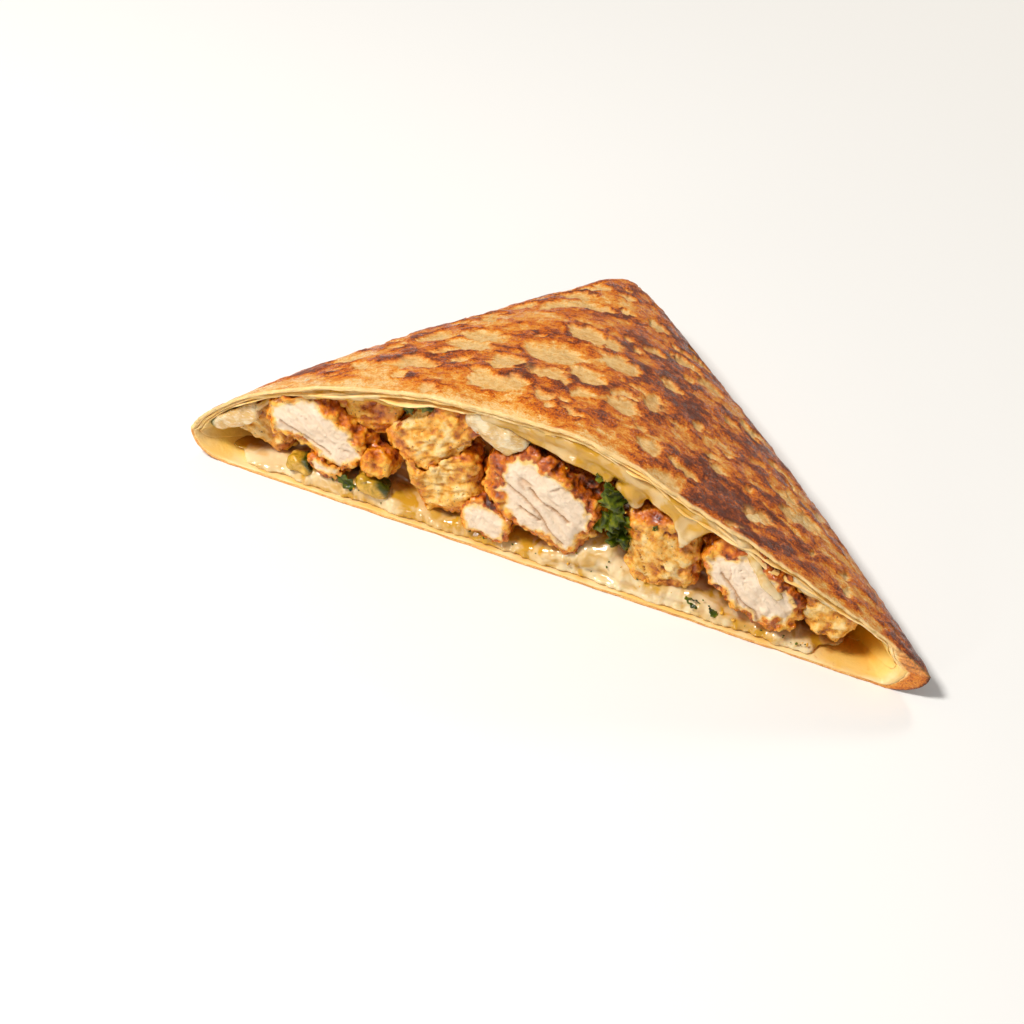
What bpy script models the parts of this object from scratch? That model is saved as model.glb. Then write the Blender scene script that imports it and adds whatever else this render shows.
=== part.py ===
"""A folded crepe filled with chicken and melted cheese, cut across so that its long side shows the filling.

The frame: +X runs along the cut from left to right, +Y from the cut back to the folded tip, +Z up.
The origin is under the middle of the crepe's box, on the surface that it lies on. Units are metres.
"""
import math

import bmesh
import bpy
from mathutils import Matrix, Vector, noise

MM = 0.001

# Driving dimensions of the folded crepe.
CUT_WIDTH = 200 * MM
DEPTH = 113 * MM
CROWN = 45 * MM
TIP_CROWN = 21 * MM
TIP_SHIFT = -14.5 * MM
TIP_HALF_WIDTH = 4 * MM
TIP_ROUNDING = 10 * MM
LEFT_BULGE = 4.5 * MM
RIGHT_BULGE = 5.5 * MM
FOLD_MIDDLE = 8 * MM
FOLD_ROUNDING = 11 * MM
WALL = 2.6 * MM
CAVITY_END = DEPTH - 16 * MM

# What keeps two neighbouring solids apart, and how far the cavity's trimming tool runs out past the cut.
GAP = 0.35 * MM
TOOL_AHEAD = 8 * MM

# The arch of the top over the cut: rounder on the left, a straight slope on the right, with a soft ridge between them.
LEFT_ARCH = (2.1, 1.42)
RIGHT_ARCH = (0.95, 1.2)
RIDGE_SOFTNESS = 0.08
# How the crown falls to the tip: 1 would be a straight line, and more than 1 keeps it high for longer.
CROWN_FALL = 1.25
WAVE_HEIGHT = 0.9 * MM
WAVE_LENGTH = 24 * MM
RIM_WAVE = 0.7 * MM
RIM_WAVES_ACROSS = 7

# How finely the folded skins are divided: across the top, across the bottom, and from the cut to the tip.
TOP_STEPS = 19
BOTTOM_STEPS = 14
DEPTH_STEPS = 10
BEND_STEPS = 4
# The rows behind the cut over which its wavy edge evens out.
RIM_ROWS = 3

# The filling's front: how far melted cheese stands back from the cut, and how deep the two ends are hollow.
CHEESE_BACK = 6 * MM
CHEESE_LIP = 2 * MM
END_HOLLOW = 30 * MM
CHEESE_LUMP = 1.6 * MM
HOLLOW_FROM = (84 * MM, 75 * MM)
FRONT_STEPS = (30, 7)
FRONT_OVERSIZE = 1.1

# Name, centre, size before turning, turn about Y in degrees, and how far behind the cut's plane a knife cut stands.
# The order is that of rank: each piece is cut back to clear those above it in the list.
CHICKEN = (
    ("chicken_centre", (-5.8, 9.0, 21.0), (34, 21, 24), 26, -0.6),
    ("chicken_right", (50.7, 8.5, 15.8), (32, 18, 19), 37, -0.4),
    ("chicken_left", (-67.3, 9.5, 19.5), (29, 20, 17), 20, 0.4),
    ("chicken_upper_left", (-36.3, 9.5, 28.5), (27, 17, 17), -52, None),
    ("chicken_torn", (26.7, 9.0, 16.5), (20, 17, 26), -8, None),
    ("chicken_pale", (-31.8, 10.0, 15.8), (21, 18, 22), -20, None),
    ("chicken_back_left", (-57.0, 14.0, 27.0), (26, 19, 15), 4, None),
    ("chicken_left_end", (-81.5, 12.5, 11.8), (19, 15, 14), 20, None),
    ("chicken_right_end", (69.2, 8.5, 13.5), (18, 12, 15), 25, None),
    ("chicken_corner", (-18.8, 5.0, 9.6), (15, 11, 11), 12, None),
    ("chicken_nugget_a", (-49.8, 5.5, 13.5), (9, 9, 8), 0, None),
    ("chicken_nugget_b", (-63.0, 4.0, 8.6), (10, 8, 6), -8, None),
    ("chicken_behind", (60.0, 6.5, 21.0), (11, 9, 9), 20, None),
)
VEGETABLES = (
    ("onion_slice", (-20.5, 4.8, 35.5), (20, 8, 8), 20, None),
    ("onion_strip", (-89.0, 3.4, 14.0), (16, 5.6, 5.6), -36, None),
    ("pepper_left", (-69.8, 3.5, 5.8), (7.5, 6, 5), 0, None),
    ("pepper_middle", (-50.0, 3.5, 6.6), (10, 6, 5), 8, None),
)
CUBE_POWER = 3.4
CHICKEN_ROUGHNESS = 0.11
SMOOTH_ROUGHNESS = 0.05
LUMP_SIZE = 9 * MM
# How finely a chunk's six sides are divided. Those longer than LARGE_CHUNK, in millimetres, have the finer net.
LARGE_CHUNK = 14.5
LARGE_STEPS = 4
SMALL_STEPS = 3

# The parsley: a curled leaf with a toothed edge. Its centre, length, half width, turn about Y in degrees and teeth.
PARSLEY = ((13.2, 4.2, 22.5), 19 * MM, 5.2 * MM, -14, 9)
LEAF_THICKNESS = 1.1 * MM
LEAF_CURL = 1.7 * MM
LEAF_ROWS = 10
LEAF_COLUMNS = (-1, -0.5, 0, 0.5, 1)

COLOURS = {
    "crepe": ((0.80, 0.56, 0.28), 0.45),
    "cheese": ((0.90, 0.78, 0.50), 0.25),
    "chicken": ((0.72, 0.40, 0.16), 0.5),
    "onion": ((0.86, 0.82, 0.66), 0.2),
    "pepper": ((0.50, 0.42, 0.08), 0.3),
    "herb": ((0.05, 0.16, 0.03), 0.35),
}


def clear_scene():
    for old in list(bpy.data.objects):
        bpy.data.objects.remove(old)


def material(name):
    """A plain Principled finish for one kind of food."""
    found = bpy.data.materials.get(name)
    if found:
        return found
    made = bpy.data.materials.new(name)
    made.use_nodes = True
    colour, roughness = COLOURS[name]
    shader = made.node_tree.nodes["Principled BSDF"]
    shader.inputs["Base Color"].default_value = (*colour, 1)
    shader.inputs["Roughness"].default_value = roughness
    shader.inputs["Metallic"].default_value = 0.0
    return made


def object_from(name, bm, finish):
    """A smooth-shaded object of this mesh, with its faces pointing out."""
    bmesh.ops.recalc_face_normals(bm, faces=bm.faces)
    mesh = bpy.data.meshes.new(name)
    bm.to_mesh(mesh)
    bm.free()
    mesh.materials.append(material(finish))
    mesh.shade_smooth()
    made = bpy.data.objects.new(name, mesh)
    bpy.context.scene.collection.objects.link(made)
    return made


def round_off(t):
    """A quarter circle's height at t, from 1 at t = 0 to 0 at t = 1."""
    return math.sqrt(max(0.0, 1 - min(1.0, t) ** 2))


def end_closing(y, end):
    """How open the fold still is at depth y: 1 as far as the round end, then down to 0."""
    return round_off(max(0.0, y - (end - TIP_ROUNDING)) / TIP_ROUNDING)


def reach(u, y, inset, end):
    """How far the fold on u's side is at depth y from the line that joins the cut's middle to the tip."""
    share = y / DEPTH
    bulge = LEFT_BULGE if u < 0 else RIGHT_BULGE
    plain = CUT_WIDTH / 2 * (1 - share) + TIP_HALF_WIDTH * share + bulge * 4 * share * (1 - share)
    return max(0.0, plain - inset) * end_closing(y, end)


def softened(u):
    """The distance from the ridge at u, rounded over where the two slopes meet."""
    foot = RIDGE_SOFTNESS
    return (math.hypot(u, foot) - foot) / (math.hypot(1, foot) - foot)


def arch(u, share):
    """The top's height over the fold at u from -1 to 1, as a share of the crown. Towards the tip it evens out."""
    power, root = LEFT_ARCH if u < 0 else RIGHT_ARCH
    at_cut = max(0.0, 1 - softened(u) ** power) ** (1 / root)
    at_tip = round_off(abs(u))
    return at_cut * (1 - share) + at_tip * share


def waves(x, y):
    """The soft rise and fall of the top where the pieces under it press."""
    return noise.noise(Vector((x / WAVE_LENGTH, y / WAVE_LENGTH, 3.7)))


def top_height(u, y, inset, end):
    """Height of the top skin at u across and y deep, inside the surface by inset."""
    share = y / DEPTH
    crown = CROWN + (TIP_CROWN - CROWN) * share ** CROWN_FALL
    height = arch(u, share) * end_closing(y, end)
    swell = WAVE_HEIGHT * waves(u * reach(u, y, 0, DEPTH), y)
    return FOLD_MIDDLE + (crown - inset - FOLD_MIDDLE + swell) * height


def bottom_height(u, y, inset, end):
    """Height of the bottom skin: flat on the plate, and turned up round the fold."""
    wide = reach(u, y, inset, end)
    up_the_fold = max(0.0, abs(u) * wide - (wide - FOLD_ROUNDING)) / FOLD_ROUNDING
    return FOLD_MIDDLE - (FOLD_MIDDLE - inset) * round_off(up_the_fold) * end_closing(y, end)


def across(steps):
    """Places from -1 to 1, closer together towards the folds."""
    return [math.sin(math.pi * (i / steps - 0.5)) for i in range(steps + 1)]


def skin_point(u, upper, y, inset, end):
    height = top_height if upper else bottom_height
    x = TIP_SHIFT * y / DEPTH + u * reach(u, y, inset, end)
    return Vector((x, y, height(u, y, inset, end)))


def skin_ring(y_at, inset, end):
    """One closed ring round the folded skin, from the left fold over the top and back under. y_at gives the depth at u."""
    over = [skin_point(u, True, y_at(u, True), inset, end) for u in across(TOP_STEPS)]
    under = [skin_point(u, False, y_at(u, False), inset, end) for u in reversed(across(BOTTOM_STEPS)[1:-1])]
    return over + under


def depth_steps(end):
    """Depths from the cut to the round end, closer together where the end closes."""
    straight = [(end - TIP_ROUNDING) * i / DEPTH_STEPS for i in range(DEPTH_STEPS + 1)]
    bend = [end - TIP_ROUNDING * (1 - math.sin(math.pi / 2 * i / BEND_STEPS)) for i in range(1, BEND_STEPS)]
    return straight + bend


def join_rings(bm, first, second):
    count = len(first)
    for i in range(count):
        bm.faces.new((first[i], first[(i + 1) % count], second[(i + 1) % count], second[i]))


def add_skin(bm, inset, end, front):
    """The rings of one skin and the point that closes it. Returns its first ring."""
    rings = []
    for step, y in enumerate(depth_steps(end)):
        fade = max(0.0, 1 - step / RIM_ROWS)
        ring = skin_ring(lambda u, upper, y=y, fade=fade: y + fade * front(u, upper), inset, end)
        rings.append([bm.verts.new(p) for p in ring])
    for first, second in zip(rings, rings[1:]):
        join_rings(bm, first, second)
    tip = bm.verts.new((TIP_SHIFT * end / DEPTH, end, FOLD_MIDDLE))
    last = rings[-1]
    for i in range(len(last)):
        bm.faces.new((last[i], last[(i + 1) % len(last)], tip))
    return rings[0]


def rim_wave(u, upper):
    """How far the cut edge of the sheet stands off its plane, never ahead of it."""
    side = 5.1 if upper else 1.3
    return RIM_WAVE * (0.5 + 0.5 * noise.noise(Vector((u * RIM_WAVES_ACROSS, side, 0.4))))


def make_wrapper():
    """The folded sheet: one shell, closed along both folds and at the tip, and open at the cut."""
    bm = bmesh.new()
    outer = add_skin(bm, 0.0, DEPTH, rim_wave)
    inner = add_skin(bm, WALL, CAVITY_END, rim_wave)
    join_rings(bm, inner, outer)
    return object_from("crepe_sheet", bm, "crepe")


def make_cavity_tool():
    """The inside of the fold, drawn in by the gap and run out past the cut. It trims what fills the fold."""
    bm = bmesh.new()
    ring = add_skin(bm, WALL + GAP, CAVITY_END - GAP, lambda u, upper: 0.0)
    ahead = [bm.verts.new(v.co - Vector((0, TOOL_AHEAD, 0))) for v in ring]
    join_rings(bm, ahead, ring)
    bm.faces.new(ahead)
    tool = object_from("cavity_tool", bm, "cheese")
    hide_tool(tool)
    return tool


def hide_tool(tool):
    tool.hide_render = True
    tool.display_type = "WIRE"


def boolean(target, tool, operation):
    """Cuts target with tool, or keeps what they share, and stores the result as target's own mesh."""
    step = target.modifiers.new(operation, "BOOLEAN")
    step.operation = operation
    step.object = tool
    step.solver = "EXACT"
    bpy.context.view_layer.update()
    evaluated = target.evaluated_get(bpy.context.evaluated_depsgraph_get())
    mesh = bpy.data.meshes.new_from_object(evaluated)
    target.modifiers.clear()
    old = target.data
    target.data = mesh
    bpy.data.meshes.remove(old)


def boxes_meet(a, b):
    for axis in range(3):
        low_a, high_a = min(c[axis] for c in a.bound_box), max(c[axis] for c in a.bound_box)
        low_b, high_b = min(c[axis] for c in b.bound_box), max(c[axis] for c in b.bound_box)
        if low_a > high_b + GAP or low_b > high_a + GAP:
            return False
    return True


def clear_of(target, tools):
    """Cuts target back from each of the other pieces' tools that its box meets."""
    for tool in tools:
        if boxes_meet(target, tool):
            boolean(target, tool, "DIFFERENCE")
    keep_largest(target)


def keep_largest(target):
    """Drops the slivers that a cut left loose."""
    bm = bmesh.new()
    bm.from_mesh(target.data)
    groups, seen = [], set()
    for start in bm.verts:
        if start in seen:
            continue
        group, todo = [], [start]
        seen.add(start)
        while todo:
            vert = todo.pop()
            group.append(vert)
            for edge in vert.link_edges:
                near = edge.other_vert(vert)
                if near not in seen:
                    seen.add(near)
                    todo.append(near)
        groups.append(group)
    groups.sort(key=len)
    for group in groups[:-1]:
        bmesh.ops.delete(bm, geom=group, context="VERTS")
    bm.to_mesh(target.data)
    bm.free()


def add_cube_net(bm, steps):
    """A cube from -1 to 1 whose faces are nets of steps by steps squares, closer together towards the edges."""
    bmesh.ops.create_cube(bm, size=2)
    bmesh.ops.subdivide_edges(bm, edges=bm.edges, cuts=steps - 1, use_grid_fill=True)
    for vert in bm.verts:
        vert.co = Vector([math.sin(math.pi / 2 * c) for c in vert.co])


def make_chunk(name, centre, size, turn, cut_at, finish, roughness, grow=0.0):
    """A block of food with soft corners and an uneven surface, sliced flat where the knife passed through it."""
    bm = bmesh.new()
    add_cube_net(bm, LARGE_STEPS if max(size) > LARGE_CHUNK else SMALL_STEPS)
    turning = Matrix.Rotation(math.radians(turn), 3, "Y")
    middle = Vector(centre) * MM
    half = Vector(size) * MM / 2
    for vert in bm.verts:
        p = vert.co
        p = p / sum(abs(c) ** CUBE_POWER for c in p) ** (1 / CUBE_POWER)
        lump = noise.noise(p * half.length / LUMP_SIZE * 0.7 + middle / LUMP_SIZE)
        p = p * (1 + roughness * lump * 2)
        p = Vector([c * (h + grow) for c, h in zip(p, half)])
        p = turning @ p + middle
        if cut_at is not None:
            p.y = max(p.y, cut_at * MM - grow)
        vert.co = p
    bmesh.ops.triangulate(bm, faces=bm.faces)
    return object_from(name, bm, finish)


def leaf_outline(t, teeth):
    """Half the leaf's width at t from stalk to tip, as a share: a long oval with a toothed edge."""
    oval = math.sin(math.pi * min(1.0, 0.08 + 0.92 * t) ** 0.8)
    return max(0.12, oval) * (1 + 0.22 * math.cos(2 * math.pi * teeth * t))


def make_leaf(name, centre, length, half_wide, turn, teeth, grow=0.0):
    """A curled green leaf with its own small thickness, built as rows of quads from stalk to tip."""
    length, half_wide = length + 2 * grow, half_wide + grow
    bm = bmesh.new()
    turning = Matrix.Rotation(math.radians(turn), 4, "Y")
    rows = []
    for i in range(LEAF_ROWS + 1):
        t = i / LEAF_ROWS
        wide = half_wide * leaf_outline(t, teeth)
        row = []
        for side in LEAF_COLUMNS:
            curl = LEAF_CURL * (side * side + 0.6 * math.sin(5 * t + side))
            row.append(Vector((side * wide, -curl - grow, (t - 0.5) * length)))
        rows.append(row)
    front = [[bm.verts.new(p) for p in row] for row in rows]
    thickness = Vector((0, LEAF_THICKNESS + 2 * grow, 0))
    back = [[bm.verts.new(p + thickness) for p in row] for row in rows]
    last = len(LEAF_COLUMNS) - 1
    for i in range(LEAF_ROWS):
        for j in range(last):
            bm.faces.new((front[i][j], front[i + 1][j], front[i + 1][j + 1], front[i][j + 1]))
            bm.faces.new((back[i][j], back[i][j + 1], back[i + 1][j + 1], back[i + 1][j]))
        for j in (0, last):
            bm.faces.new((front[i][j], back[i][j], back[i + 1][j], front[i + 1][j]))
    for i in (0, LEAF_ROWS):
        for j in range(last):
            bm.faces.new((front[i][j], front[i][j + 1], back[i][j + 1], back[i][j]))
    bmesh.ops.transform(bm, matrix=Matrix.Translation(Vector(centre) * MM) @ turning, verts=bm.verts)
    return object_from(name, bm, "herb")


def smoothstep(low, high, value):
    t = min(1.0, max(0.0, (value - low) / (high - low)))
    return t * t * (3 - 2 * t)


def cheese_front(x, z):
    """How far behind the cut the melted cheese stands: it bulges at its top and its foot and leaves both ends hollow."""
    ends = max(smoothstep(HOLLOW_FROM[0], CUT_WIDTH / 2, -x), smoothstep(HOLLOW_FROM[1], CUT_WIDTH / 2, x))
    up = min(1.0, z / (CROWN * (1 - (2 * x / CUT_WIDTH) ** 2) + WALL))
    middle = math.sin(math.pi * up)
    lump = CHEESE_LUMP * noise.noise(Vector((x, z, 8 * MM)) / LUMP_SIZE)
    return CHEESE_LIP + (CHEESE_BACK - CHEESE_LIP) * middle + END_HOLLOW * ends + lump


def make_cheese(cavity):
    """The melted cheese, one mass that fills the fold from its tip to just behind the cut.

    Its front starts as a grid a little larger than the cut, and the fold's inside trims it.
    """
    bm = bmesh.new()
    bmesh.ops.create_grid(bm, x_segments=FRONT_STEPS[0], y_segments=FRONT_STEPS[1], size=0.5)
    for vert in bm.verts:
        x, z = vert.co.x * CUT_WIDTH * FRONT_OVERSIZE, (vert.co.y + 0.5) * CROWN * FRONT_OVERSIZE - GAP
        vert.co = (x, cheese_front(x, z), z)
    front = list(bm.faces)
    made = bmesh.ops.extrude_face_region(bm, geom=front)
    for vert in [g for g in made["geom"] if isinstance(g, bmesh.types.BMVert)]:
        vert.co.y = DEPTH
    bmesh.ops.triangulate(bm, faces=bm.faces)
    cheese = object_from("melted_cheese", bm, "cheese")
    boolean(cheese, cavity, "INTERSECT")
    return cheese


def centre_plan(objects):
    """Moves the model so that its origin is under the middle of its box."""
    corners = [vert.co for made in objects for vert in made.data.vertices]
    shift = [-(min(c[axis] for c in corners) + max(c[axis] for c in corners)) / 2 for axis in (0, 1)]
    for made in objects:
        made.data.transform(Matrix.Translation((*shift, 0)))


def main():
    clear_scene()
    wrapper = make_wrapper()
    cavity = make_cavity_tool()
    placed, tools = [], []
    for rows, roughness in ((CHICKEN, CHICKEN_ROUGHNESS), (VEGETABLES, SMOOTH_ROUGHNESS)):
        for name, *place in rows:
            finish = name.split("_")[0]
            piece = make_chunk(name, *place, finish, roughness)
            boolean(piece, cavity, "INTERSECT")
            clear_of(piece, tools)
            placed.append(piece)
            tools.append(make_chunk(name + "_tool", *place, finish, roughness, grow=GAP))
            hide_tool(tools[-1])
    parsley = make_leaf("parsley_sprig", *PARSLEY)
    boolean(parsley, cavity, "INTERSECT")
    clear_of(parsley, tools)
    tools.append(make_leaf("parsley_tool", *PARSLEY, grow=GAP))
    hide_tool(tools[-1])
    cheese = make_cheese(cavity)
    clear_of(cheese, tools)
    for tool in [cavity, *tools]:
        bpy.data.objects.remove(tool)
    centre_plan([wrapper, cheese, parsley, *placed])


main()
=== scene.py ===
import math

import bmesh
import bpy
import numpy as np
from mathutils import Matrix, Vector, kdtree


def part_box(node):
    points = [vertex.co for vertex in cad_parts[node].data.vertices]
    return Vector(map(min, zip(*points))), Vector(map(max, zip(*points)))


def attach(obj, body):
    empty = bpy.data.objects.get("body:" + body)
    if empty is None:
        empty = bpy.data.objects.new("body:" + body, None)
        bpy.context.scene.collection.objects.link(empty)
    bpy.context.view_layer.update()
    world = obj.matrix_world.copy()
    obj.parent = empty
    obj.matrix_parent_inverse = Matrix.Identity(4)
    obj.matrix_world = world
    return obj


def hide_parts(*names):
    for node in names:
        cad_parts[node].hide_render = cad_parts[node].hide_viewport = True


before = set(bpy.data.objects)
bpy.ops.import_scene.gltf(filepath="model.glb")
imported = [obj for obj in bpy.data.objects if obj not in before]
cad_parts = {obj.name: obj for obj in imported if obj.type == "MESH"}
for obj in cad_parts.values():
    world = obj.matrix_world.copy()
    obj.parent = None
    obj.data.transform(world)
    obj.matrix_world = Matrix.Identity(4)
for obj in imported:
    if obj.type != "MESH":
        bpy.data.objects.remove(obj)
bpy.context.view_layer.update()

# Looks for the chicken crepe: a folded crepe, cut across, with chicken, melted cheese, onion and herbs.
# Shapes are worked out in millimetres and turned into metres when a mesh is made.
MM = 0.001

# ---- Sizes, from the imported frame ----

SHEET_LOW, SHEET_HIGH = (np.array(corner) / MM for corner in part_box("crepe_sheet"))
CUT_Y = SHEET_LOW[1]
DEPTH = SHEET_HIGH[1] - SHEET_LOW[1]
HALF_CUT = (SHEET_HIGH[0] - SHEET_LOW[0]) / 2
MIDDLE_X = (SHEET_HIGH[0] + SHEET_LOW[0]) / 2
CROWN = SHEET_HIGH[2]

# The fold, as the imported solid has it.
TIP_CROWN = 0.467 * CROWN
TIP_SHIFT = -0.145 * HALF_CUT
TIP_HALF_WIDTH = 4.0
TIP_ROUNDING = 10.0
LEFT_BULGE = 4.5
RIGHT_BULGE = 5.5
FOLD_MIDDLE = 8.0
FOLD_ROUNDING = 11.0
CAVITY_END = DEPTH - 16.0
LEFT_ARCH = (2.1, 1.42)
RIGHT_ARCH = (0.95, 1.2)
RIDGE_SOFTNESS = 0.08
CROWN_FALL = 1.25

# The sheets of thin crepe: the outer one is browned, the inner ones are pale.
OUTER_THICKNESS = 1.1
INNER_INSET = 1.25
INNER_THICKNESS = 0.75
LINING_INSET = 2.1
LINING_THICKNESS = 0.5
# How much further in the sheets' insides stand at the right end, where the outer sheet is folded on itself.
RIGHT_FOLD = 6.5


# ---- Numbers that vary over space ----

def hashed(cell, salt):
    """A fixed number from 0 to 1 for each whole-numbered cell."""
    n = (cell[..., 0] * 73856093) ^ (cell[..., 1] * 19349663) ^ (cell[..., 2] * 83492791) ^ (salt * 40503)
    n = ((n ^ (n >> 13)) * 1274126177) & 0xFFFFFFFF
    n = ((n ^ (n >> 15)) * 668265263) & 0xFFFFFFFF
    return ((n ^ (n >> 16)) & 0xFFFFFF) / 0xFFFFFF


def noise(points, size, salt=0):
    """Smooth noise from about -1 to 1 at each point, with bumps of this size, or of one size per axis."""
    q = points / np.asarray(size, float)
    base = np.floor(q).astype(np.int64)
    part = q - base
    ease = part ** 3 * (part * (part * 6 - 15) + 10)
    total = np.zeros(len(points))
    for corner in np.ndindex(2, 2, 2):
        step = np.array(corner)
        slope = np.stack([hashed(base + step, salt * 7 + axis) for axis in (1, 2, 3)], -1) * 2 - 1
        weight = np.prod(np.where(step == 1, ease, 1 - ease), axis=-1)
        total += weight * ((part - step) * slope).sum(-1)
    return total * 1.7


def layered(points, size, salt=0, layers=3):
    """Noise with finer noise on top of it."""
    size = np.asarray(size, float)
    total = sum(noise(points, size / 2 ** i, salt + i) / 2 ** i for i in range(layers))
    return total / 1.4


def noises(points, *parts):
    """A sum of noises, each given as its strength, size and salt."""
    return sum(strength * noise(points, size, salt) for strength, size, salt in parts)


def smoothstep(low, high, value):
    t = np.clip((value - low) / (high - low), 0, 1)
    return t * t * (3 - 2 * t)


def bell(value, centre, width):
    return np.exp(-((value - centre) / width) ** 2)


def round_off(t):
    """A quarter circle's height at t, from 1 at t = 0 to 0 at t = 1."""
    return np.sqrt(np.clip(1 - np.clip(t, 0, 1) ** 2, 0, 1))


def inside_box(points):
    """Each point's place in the box of them all, from -1 to 1 along each axis."""
    low, high = points.min(0), points.max(0)
    return (points - (high + low) / 2) / ((high - low) / 2)


# ---- Meshes ----

def mesh_of(name, points, *groups):
    """A mesh from points in millimetres and groups of faces. A group's faces all have as many corners."""
    mesh = bpy.data.meshes.new(name)
    groups = [np.asarray(group, np.int32) for group in groups]
    corners = np.concatenate([group.ravel() for group in groups])
    sizes = np.concatenate([np.full(len(group), group.shape[1], np.int32) for group in groups])
    mesh.vertices.add(len(points))
    mesh.vertices.foreach_set("co", (np.asarray(points) * MM).astype(np.float32).ravel())
    mesh.loops.add(len(corners))
    mesh.loops.foreach_set("vertex_index", corners)
    mesh.polygons.add(len(sizes))
    mesh.polygons.foreach_set("loop_start", (np.cumsum(sizes) - sizes).astype(np.int32))
    mesh.update(calc_edges=True)
    mesh.validate()
    return mesh


def linked(name, data):
    made = bpy.data.objects.new(name, data)
    bpy.context.scene.collection.objects.link(made)
    return made


def object_of(name, mesh):
    mesh.shade_smooth()
    return linked(name, mesh)


def rows_of(items, field, kind=np.float32):
    """The three numbers that each item has in this field, as rows."""
    flat = np.empty(len(items) * 3, kind)
    items.foreach_get(field, flat)
    return flat.reshape(-1, 3)


def points_of(mesh):
    return rows_of(mesh.vertices, "co").astype(float) / MM


def normals_of(mesh):
    return rows_of(mesh.vertex_normals, "vector").astype(float)


def set_points(mesh, points):
    mesh.vertices.foreach_set("co", (points * MM).astype(np.float32).ravel())
    mesh.update()


def triangles_of(mesh):
    mesh.calc_loop_triangles()
    return rows_of(mesh.loop_triangles, "vertices", np.int32)


def paint(mesh, **layers):
    """Stores one number for each vertex in each named layer, for the material to read."""
    for name, values in layers.items():
        layer = mesh.attributes.new(name, "FLOAT", "POINT")
        layer.data.foreach_set("value", np.asarray(values, np.float32))


def joined(shapes):
    """The points and triangles of several shapes as one pair."""
    points, faces, start = [], [], 0
    for shape_points, shape_faces in shapes:
        points.append(shape_points)
        faces.append(shape_faces + start)
        start += len(shape_points)
    return np.concatenate(points), np.concatenate(faces)


def ball_template():
    """A ball of radius 1 as points and triangles."""
    bm = bmesh.new()
    bmesh.ops.create_icosphere(bm, subdivisions=2, radius=1)
    points = np.array([v.co for v in bm.verts])
    faces = np.array([[v.index for v in f.verts] for f in bm.faces])
    bm.free()
    return points, faces


BALL = ball_template()


def lump(centre, radii, turn=0.0):
    """An ellipsoid, turned about Y by this many degrees. centre is across, behind the cut, and up."""
    points = BALL[0] * np.asarray(radii, float)
    a = math.radians(turn)
    turning = np.array([[math.cos(a), 0, math.sin(a)], [0, 1, 0], [-math.sin(a), 0, math.cos(a)]])
    return points @ turning.T + place(centre), BALL[1]


# How far apart the balls of a strand stand, as a share of their radius.
BEAD_STEP = 0.35


def strand(stops, flat=1.0):
    """Overlapping balls through stops of (across, behind the cut, up, radius). flat deepens them."""
    shapes = []
    for first, second in zip(stops, stops[1:]):
        first, second = np.array(first, float), np.array(second, float)
        count = max(2, int(np.linalg.norm(second[:3] - first[:3]) / (BEAD_STEP * min(first[3], second[3]))))
        for t in np.linspace(0, 1, count):
            t_soft = t * t * (3 - 2 * t)
            radius = first[3] + (second[3] - first[3]) * t_soft
            shapes.append(lump(first[:3] + (second[:3] - first[:3]) * t, (radius, radius * flat, radius)))
    return shapes


def place(point):
    """Across, behind the cut and up, as a place in the row's frame."""
    return np.asarray(point, float) + (MIDDLE_X, CUT_Y, 0)


def fused(name, shapes, net, rounds):
    """One closed skin round shapes that overlap, on a net of this spacing, softened this many times."""
    made = object_of(name, mesh_of(name, *joined(shapes)))
    skin = made.modifiers.new("skin", "REMESH")
    skin.mode = "VOXEL"
    skin.voxel_size = net * MM
    if rounds:
        soften = made.modifiers.new("soften", "SMOOTH")
        soften.factor = 0.5
        soften.iterations = rounds
    bpy.context.view_layer.update()
    result = bpy.data.meshes.new_from_object(made.evaluated_get(bpy.context.evaluated_depsgraph_get()))
    old = made.data
    bpy.data.objects.remove(made)
    bpy.data.meshes.remove(old)
    result.name = name
    return result


def push(mesh, amount):
    """Moves each vertex along its normal by its own amount."""
    set_points(mesh, points_of(mesh) + normals_of(mesh) * amount[:, None])


# ---- Materials: arithmetic on shader sockets ----

class Shade:
    """A shader socket that takes part in arithmetic: an expression on values adds its Math nodes."""

    def __init__(self, finish, socket):
        self.finish, self.socket = finish, socket

    def math(self, operation, other=None, swap=False):
        pair = (other, self) if swap else (self, other)
        sockets = {i: value for i, value in enumerate(pair) if value is not None}
        return self.finish.node("ShaderNodeMath", {"operation": operation}, sockets)

    def __add__(self, other): return self.math("ADD", other)
    def __radd__(self, other): return self.math("ADD", other, True)
    def __sub__(self, other): return self.math("SUBTRACT", other)
    def __rsub__(self, other): return self.math("SUBTRACT", other, True)
    def __mul__(self, other): return self.math("MULTIPLY", other)
    def __rmul__(self, other): return self.math("MULTIPLY", other, True)

    def step(self, low, high):
        """From 0 at low to 1 at high, with soft ends."""
        sockets = {"Value": self, "From Min": low, "From Max": high}
        return self.finish.node("ShaderNodeMapRange", {"interpolation_type": "SMOOTHSTEP"}, sockets)

    def ramp(self, stops):
        """A colour for each value: stops are (value, colour)."""
        return self.finish.node("ShaderNodeValToRGB", {"stops": stops}, {"Fac": self})


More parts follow.
